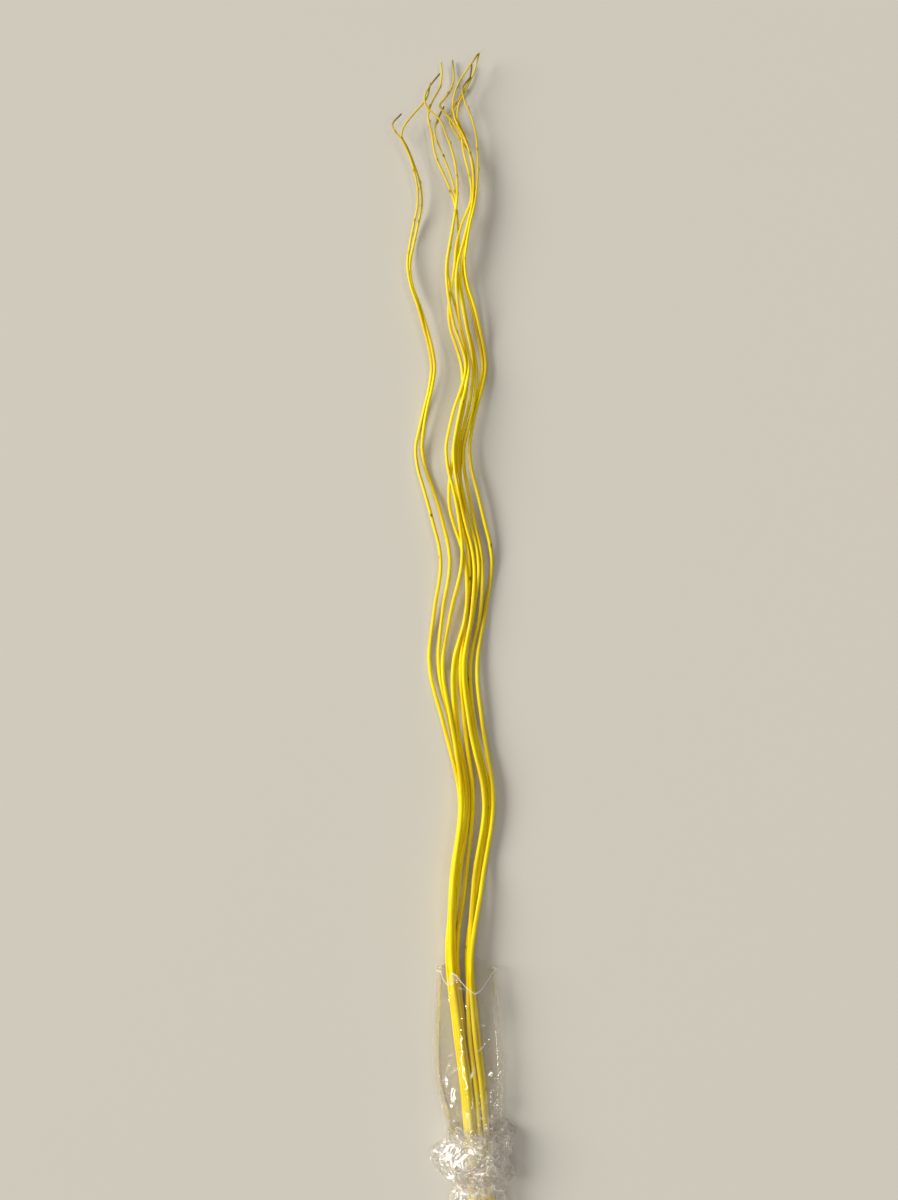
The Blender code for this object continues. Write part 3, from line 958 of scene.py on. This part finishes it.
def outward(x, z):
    """Sideways and up parts of the direction square to the way round."""
    round_x = np.roll(x, -1, axis=1) - np.roll(x, 1, axis=1)
    round_z = np.roll(z, -1, axis=1) - np.roll(z, 1, axis=1)
    size = np.hypot(round_x, round_z) + 1e-9
    return -round_z / size, round_x / size


print(len(turn), "points round,", round(float(on_arc.mean()), 2), "of them on the arc")

# %% [markdown]
# ## The sleeve's folds
#
# Every fold is a push square to the section. The facets grow towards the cut ends. Long
# soft pleats take up the spare width near the mouth, and a crease runs along both sides
# where the tube lay flat in its pack. Single creases follow the photograph: for each, the
# distance to its straight line gives a bell. The side creases and the single ones are also
# whitened, partly as creased film whitens and partly as painted highlight for their glints.

# %% Folds
FLAT_WIDTH = 0.200              # of the tube, pressed flat: the cut is twice as wide
FACET_SIZES = ((52 * MM, 8.5 * MM), (21 * MM, 2.4 * MM))
RIDGE_SIZES = ((30 * MM, 5.0 * MM), (14 * MM, 2.4 * MM))
RIDGE_TOP = 0.7                 # height of a ridge's edge, as a share of the size above
CALM_SHARE = 0.08               # of the crumples' height in the smooth part
CRUMPLED = (0.15, 0.34)         # from the cut ends: where the crumples stop being full, and calm down
CRUMPLE_SLANT = 0.07            # how much further up they reach on the right side
PLEATS = 6
PLEAT_HEIGHT = 1.5 * MM
SIDE_CREASE = 2.0 * MM
SIDE_MARK = 0.105               # of the way round, from the corner of the base to the side crease
SIDE_REACH = 0.008
CREASE_WIDTH = 1.9 * MM

# Single creases: both ends as (sideways, from the cut ends), and the height, in mm.
CREASES = (
    ((-18, 508), (-9, 515), 0.8), ((-9, 515), (2, 523), 0.8),
    ((-30, 296), (-17, 351), 1.5), ((-22, 315), (7, 345), 1.3), ((-28, 352), (-2, 370), 1.0),
    ((29, 363), (64, 394), 2.4), ((34, 354), (22, 303), 1.6), ((45, 427), (53, 424), 3.0),
    ((22, 171), (64, 177), 3.0), ((64, 177), (106, 192), 3.4), ((24, 166), (70, 150), 3.0),
    ((-4, 161), (17, 119), 3.4), ((-17, 134), (9, 123), 2.6), ((34, 193), (68, 214), 2.8),
    ((-40, 278), (-21, 189), 2.2), ((68, 307), (89, 317), 2.2), ((70, 285), (84, 270), 2.2),
    ((-7, 207), (22, 189), 2.6), ((-58, 128), (-24, 160), 2.6), ((72, 539), (90, 324), 1.2),
    ((-27, 157), (-4, 161), 2.4), ((106, 170), (90, 150), 3.0), ((60, 120), (84, 96), 2.8),
    ((-12, 100), (12, 74), 2.6), ((70, 80), (96, 66), 2.8),
)

side_creases = sum(np.exp(-((turn - mark) / SIDE_REACH) ** 2)
                   for mark in (SIDE_MARK, TOP_SHARE - SIDE_MARK))


def crumpling(place, depth):
    """Share of the crumples' full height: all of it near the cut ends and in the inner layers."""
    low = 1 - smooth_step(*CRUMPLED, place - CRUMPLE_SLANT * np.cos(angle))
    share = np.maximum(low, smooth_step(0.1, 0.9, depth))
    return CALM_SHARE + (1 - CALM_SHARE) * share


def crumples(along, chance):
    """Facets and ridges of two sizes each, at full height."""
    around = np.broadcast_to(turn, along.shape)
    pushed = np.zeros(along.shape)
    for width, tall in FACET_SIZES:
        pushed += tall * facets(around, along, width, 2 * FLAT_WIDTH, chance)
    for width, tall in RIDGE_SIZES:
        pushed += tall * (RIDGE_TOP - 2 * np.abs(facets(around, along, width, 2 * FLAT_WIDTH, chance)))
    return pushed


def single_creases(x, place):
    """The creases' bells added up, as heights and as whiteness, which is partly painted highlight for
    their glints. Each one varies along its line.
    """
    raised, white_and_glint = np.zeros_like(x), np.zeros_like(x)
    for (x0, s0), (x1, s1), tall in CREASES:
        way = np.array((x1 - x0, s1 - s0)) * MM
        along = ((x - x0 * MM) * way[0] + (place - s0 * MM) * way[1]) / (way @ way)
        held = np.clip(along, 0, 1)
        off = np.hypot(x - x0 * MM - held * way[0], place - s0 * MM - held * way[1])
        bell = np.exp(-(off / CREASE_WIDTH) ** 2)
        ends = np.sqrt(np.sin(math.pi * np.clip(held, 0.02, 0.98)))
        fading = ends * (0.6 + 0.4 * np.sin(9 * held + x0))
        raised += tall * MM * bell * fading
        # whiteness along the crease: partly its whitening, partly painted highlight
        white_and_glint += 0.9 * bell**2 * fading
    return raised, white_and_glint


print(len(CREASES), "single creases")

# %% [markdown]
# ## Over the rods and on the floor
#
# Wherever the film would cut a rod, it is lifted over it. The base lies flat under the
# rods, and its crumples only rise beside them. The weld is a narrow fin at the left corner.

# %% Sleeve
ROOF_GAP = 0.8 * MM             # between a rod and the film over it
ROOF_SLOPE = 1.6                # how steeply the film may fall beside a rod
ROOF_AHEAD = 5 * MM             # how far the roof reaches past the cut ends
BASE_LIFT = 0.35                # share of the crumples' height that lifts the base
LEAN = 0.35                     # share of a push that also shifts the film along the tube
WELD_FIN = 5 * MM
# partly painted highlight: bends are whitened as creased film whitens, and for the glints they catch
BEND_WHITE_AND_GLINT = 2.6 * MM           # how sharp a bend makes the film fully white
# painted highlight: the rim's edge is drawn white
RIM_HIGHLIGHT = ((1.6,), (0.7,))    # the rim's own two rows
FLAP = (0.19, 0.385)            # across: the flap's left and right side
# whiter patch for a small flap of film that isn't modelled: its extra layer's haze and painted glints
FLAP_HAZE_AND_GLINT = 0.35


def roof_over_rods(x, y):
    """The height that film needs at each point to clear every rod: it falls on both sides of each."""
    roof = np.zeros_like(x)
    for middles, radii in ROD_LINES.values():
        at_x = np.interp(y, middles[:, 1], middles[:, 0])
        top = np.interp(y, middles[:, 1], middles[:, 2] + radii)
        radius = np.interp(y, middles[:, 1], radii)
        beside = np.clip(np.abs(x - at_x) - radius, 0, None)
        over_rod = np.where(y < middles[0, 1] - ROOF_AHEAD, 0, top + ROOF_GAP - ROOF_SLOPE * beside)
        roof = np.maximum(roof, over_rod)
    return roof


def corners_held():
    """0 at the lower corners and 1 between them, so that arc and base stay together."""
    arc = smooth_step(0, 0.07, arc_share) * (1 - smooth_step(0.93, 1, arc_share))
    base = smooth_step(0, 0.12, base_share) * (1 - smooth_step(0.88, 1, base_share))
    return np.where(on_arc, arc, base)


def mark_sleeve(sleeve, place, along, push, crumple, white_and_glint):
    """Store the whiteness of the creases, the rim and the flap, which is partly painted highlight, the
    share of crumpling and the place on the flat film.
    """
    beside = [np.roll(push, step, axis) for axis in (0, 1) for step in (1, -1)]
    bent = np.abs(4 * push - sum(beside))
    # whiteness from sharp bends and the side creases: partly whitening, partly painted highlight
    crease_white_and_glint = np.clip(bent / BEND_WHITE_AND_GLINT - 0.45, 0, 0.8) + 0.35 * side_creases * on_arc + white_and_glint
    # painted highlight along the rim
    crease_white_and_glint[:2] = RIM_HIGHLIGHT
    # painted: the whiter patch of the unmodelled flap, with its glints
    flap_line = 0.508 + 0.088 * (across - 0.205)
    flap = on_arc & (across > FLAP[0]) & (across < FLAP[1]) & (place > flap_line)
    crease_white_and_glint += np.where(flap, FLAP_HAZE_AND_GLINT, 0.0)
    paint_value(sleeve, "crease_white_and_glint", np.clip(crease_white_and_glint, 0, 1.8).ravel())
    paint_value(sleeve, "bunch", smooth_step(0.2, 0.9, crumple).ravel())
    around = 2 * math.pi * np.broadcast_to(turn, along.shape)
    radius = FLAT_WIDTH / math.pi
    flat = np.stack((np.cos(around) * radius, np.sin(around) * radius, along), axis=2)
    paint_value(sleeve, "flat", flat.reshape(-1, 3))


def make_sleeve():
    chance = np.random.default_rng(77)
    place = sleeve_places()
    depth = np.broadcast_to(depths[:, None], place.shape)
    along = np.broadcast_to(walk[:, None], place.shape)
    x, z = plain_section(place, depth)
    y = place + CUT_ENDS_Y
    out_x, out_z = outward(x, z)

    crumple = crumpling(place, depth)
    push = crumples(along, chance) * crumple
    drift = 9 * along + 1.5 * np.sin(14 * along)
    pleats = PLEAT_HEIGHT * np.sin(2 * math.pi * PLEATS * turn + drift)
    raised, white_and_glint = single_creases(x, place)
    outer = np.where(on_arc, 1 - smooth_step(0.0, 0.5, depth), 0.0)
    push += np.where(on_arc, pleats + SIDE_CREASE * side_creases, 0.0) + raised * outer
    low_roof = smooth_step(0, 20 * MM, 12 * MM - roof_over_rods(x, y))
    push = np.where(on_arc, push, -BASE_LIFT * low_roof * np.abs(push)) * corners_held()

    x = x + push * out_x
    z = z + push * out_z
    y = y + LEAN * push * np.cos(9 * turn)
    lowest = FILM_OFF_FLOOR + 0.8 * LAYER_GAP * depth
    z = np.maximum(z, np.where(on_arc, np.maximum(lowest, roof_over_rods(x, y)), lowest))
    x[:, [0, -1]] -= WELD_FIN
    z[:, 0] += 0.5 * MM

    sleeve = ring_mesh("film_sleeve_crumpled", np.stack((x, y, z), axis=2), FILM, side_open=True)
    mark_sleeve(sleeve, place, along, push, crumple, white_and_glint * outer)
    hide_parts("film_sleeve")
    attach(sleeve, "root")
    return sleeve


SLEEVE = make_sleeve()
print("sleeve", len(SLEEVE.data.polygons), "faces")
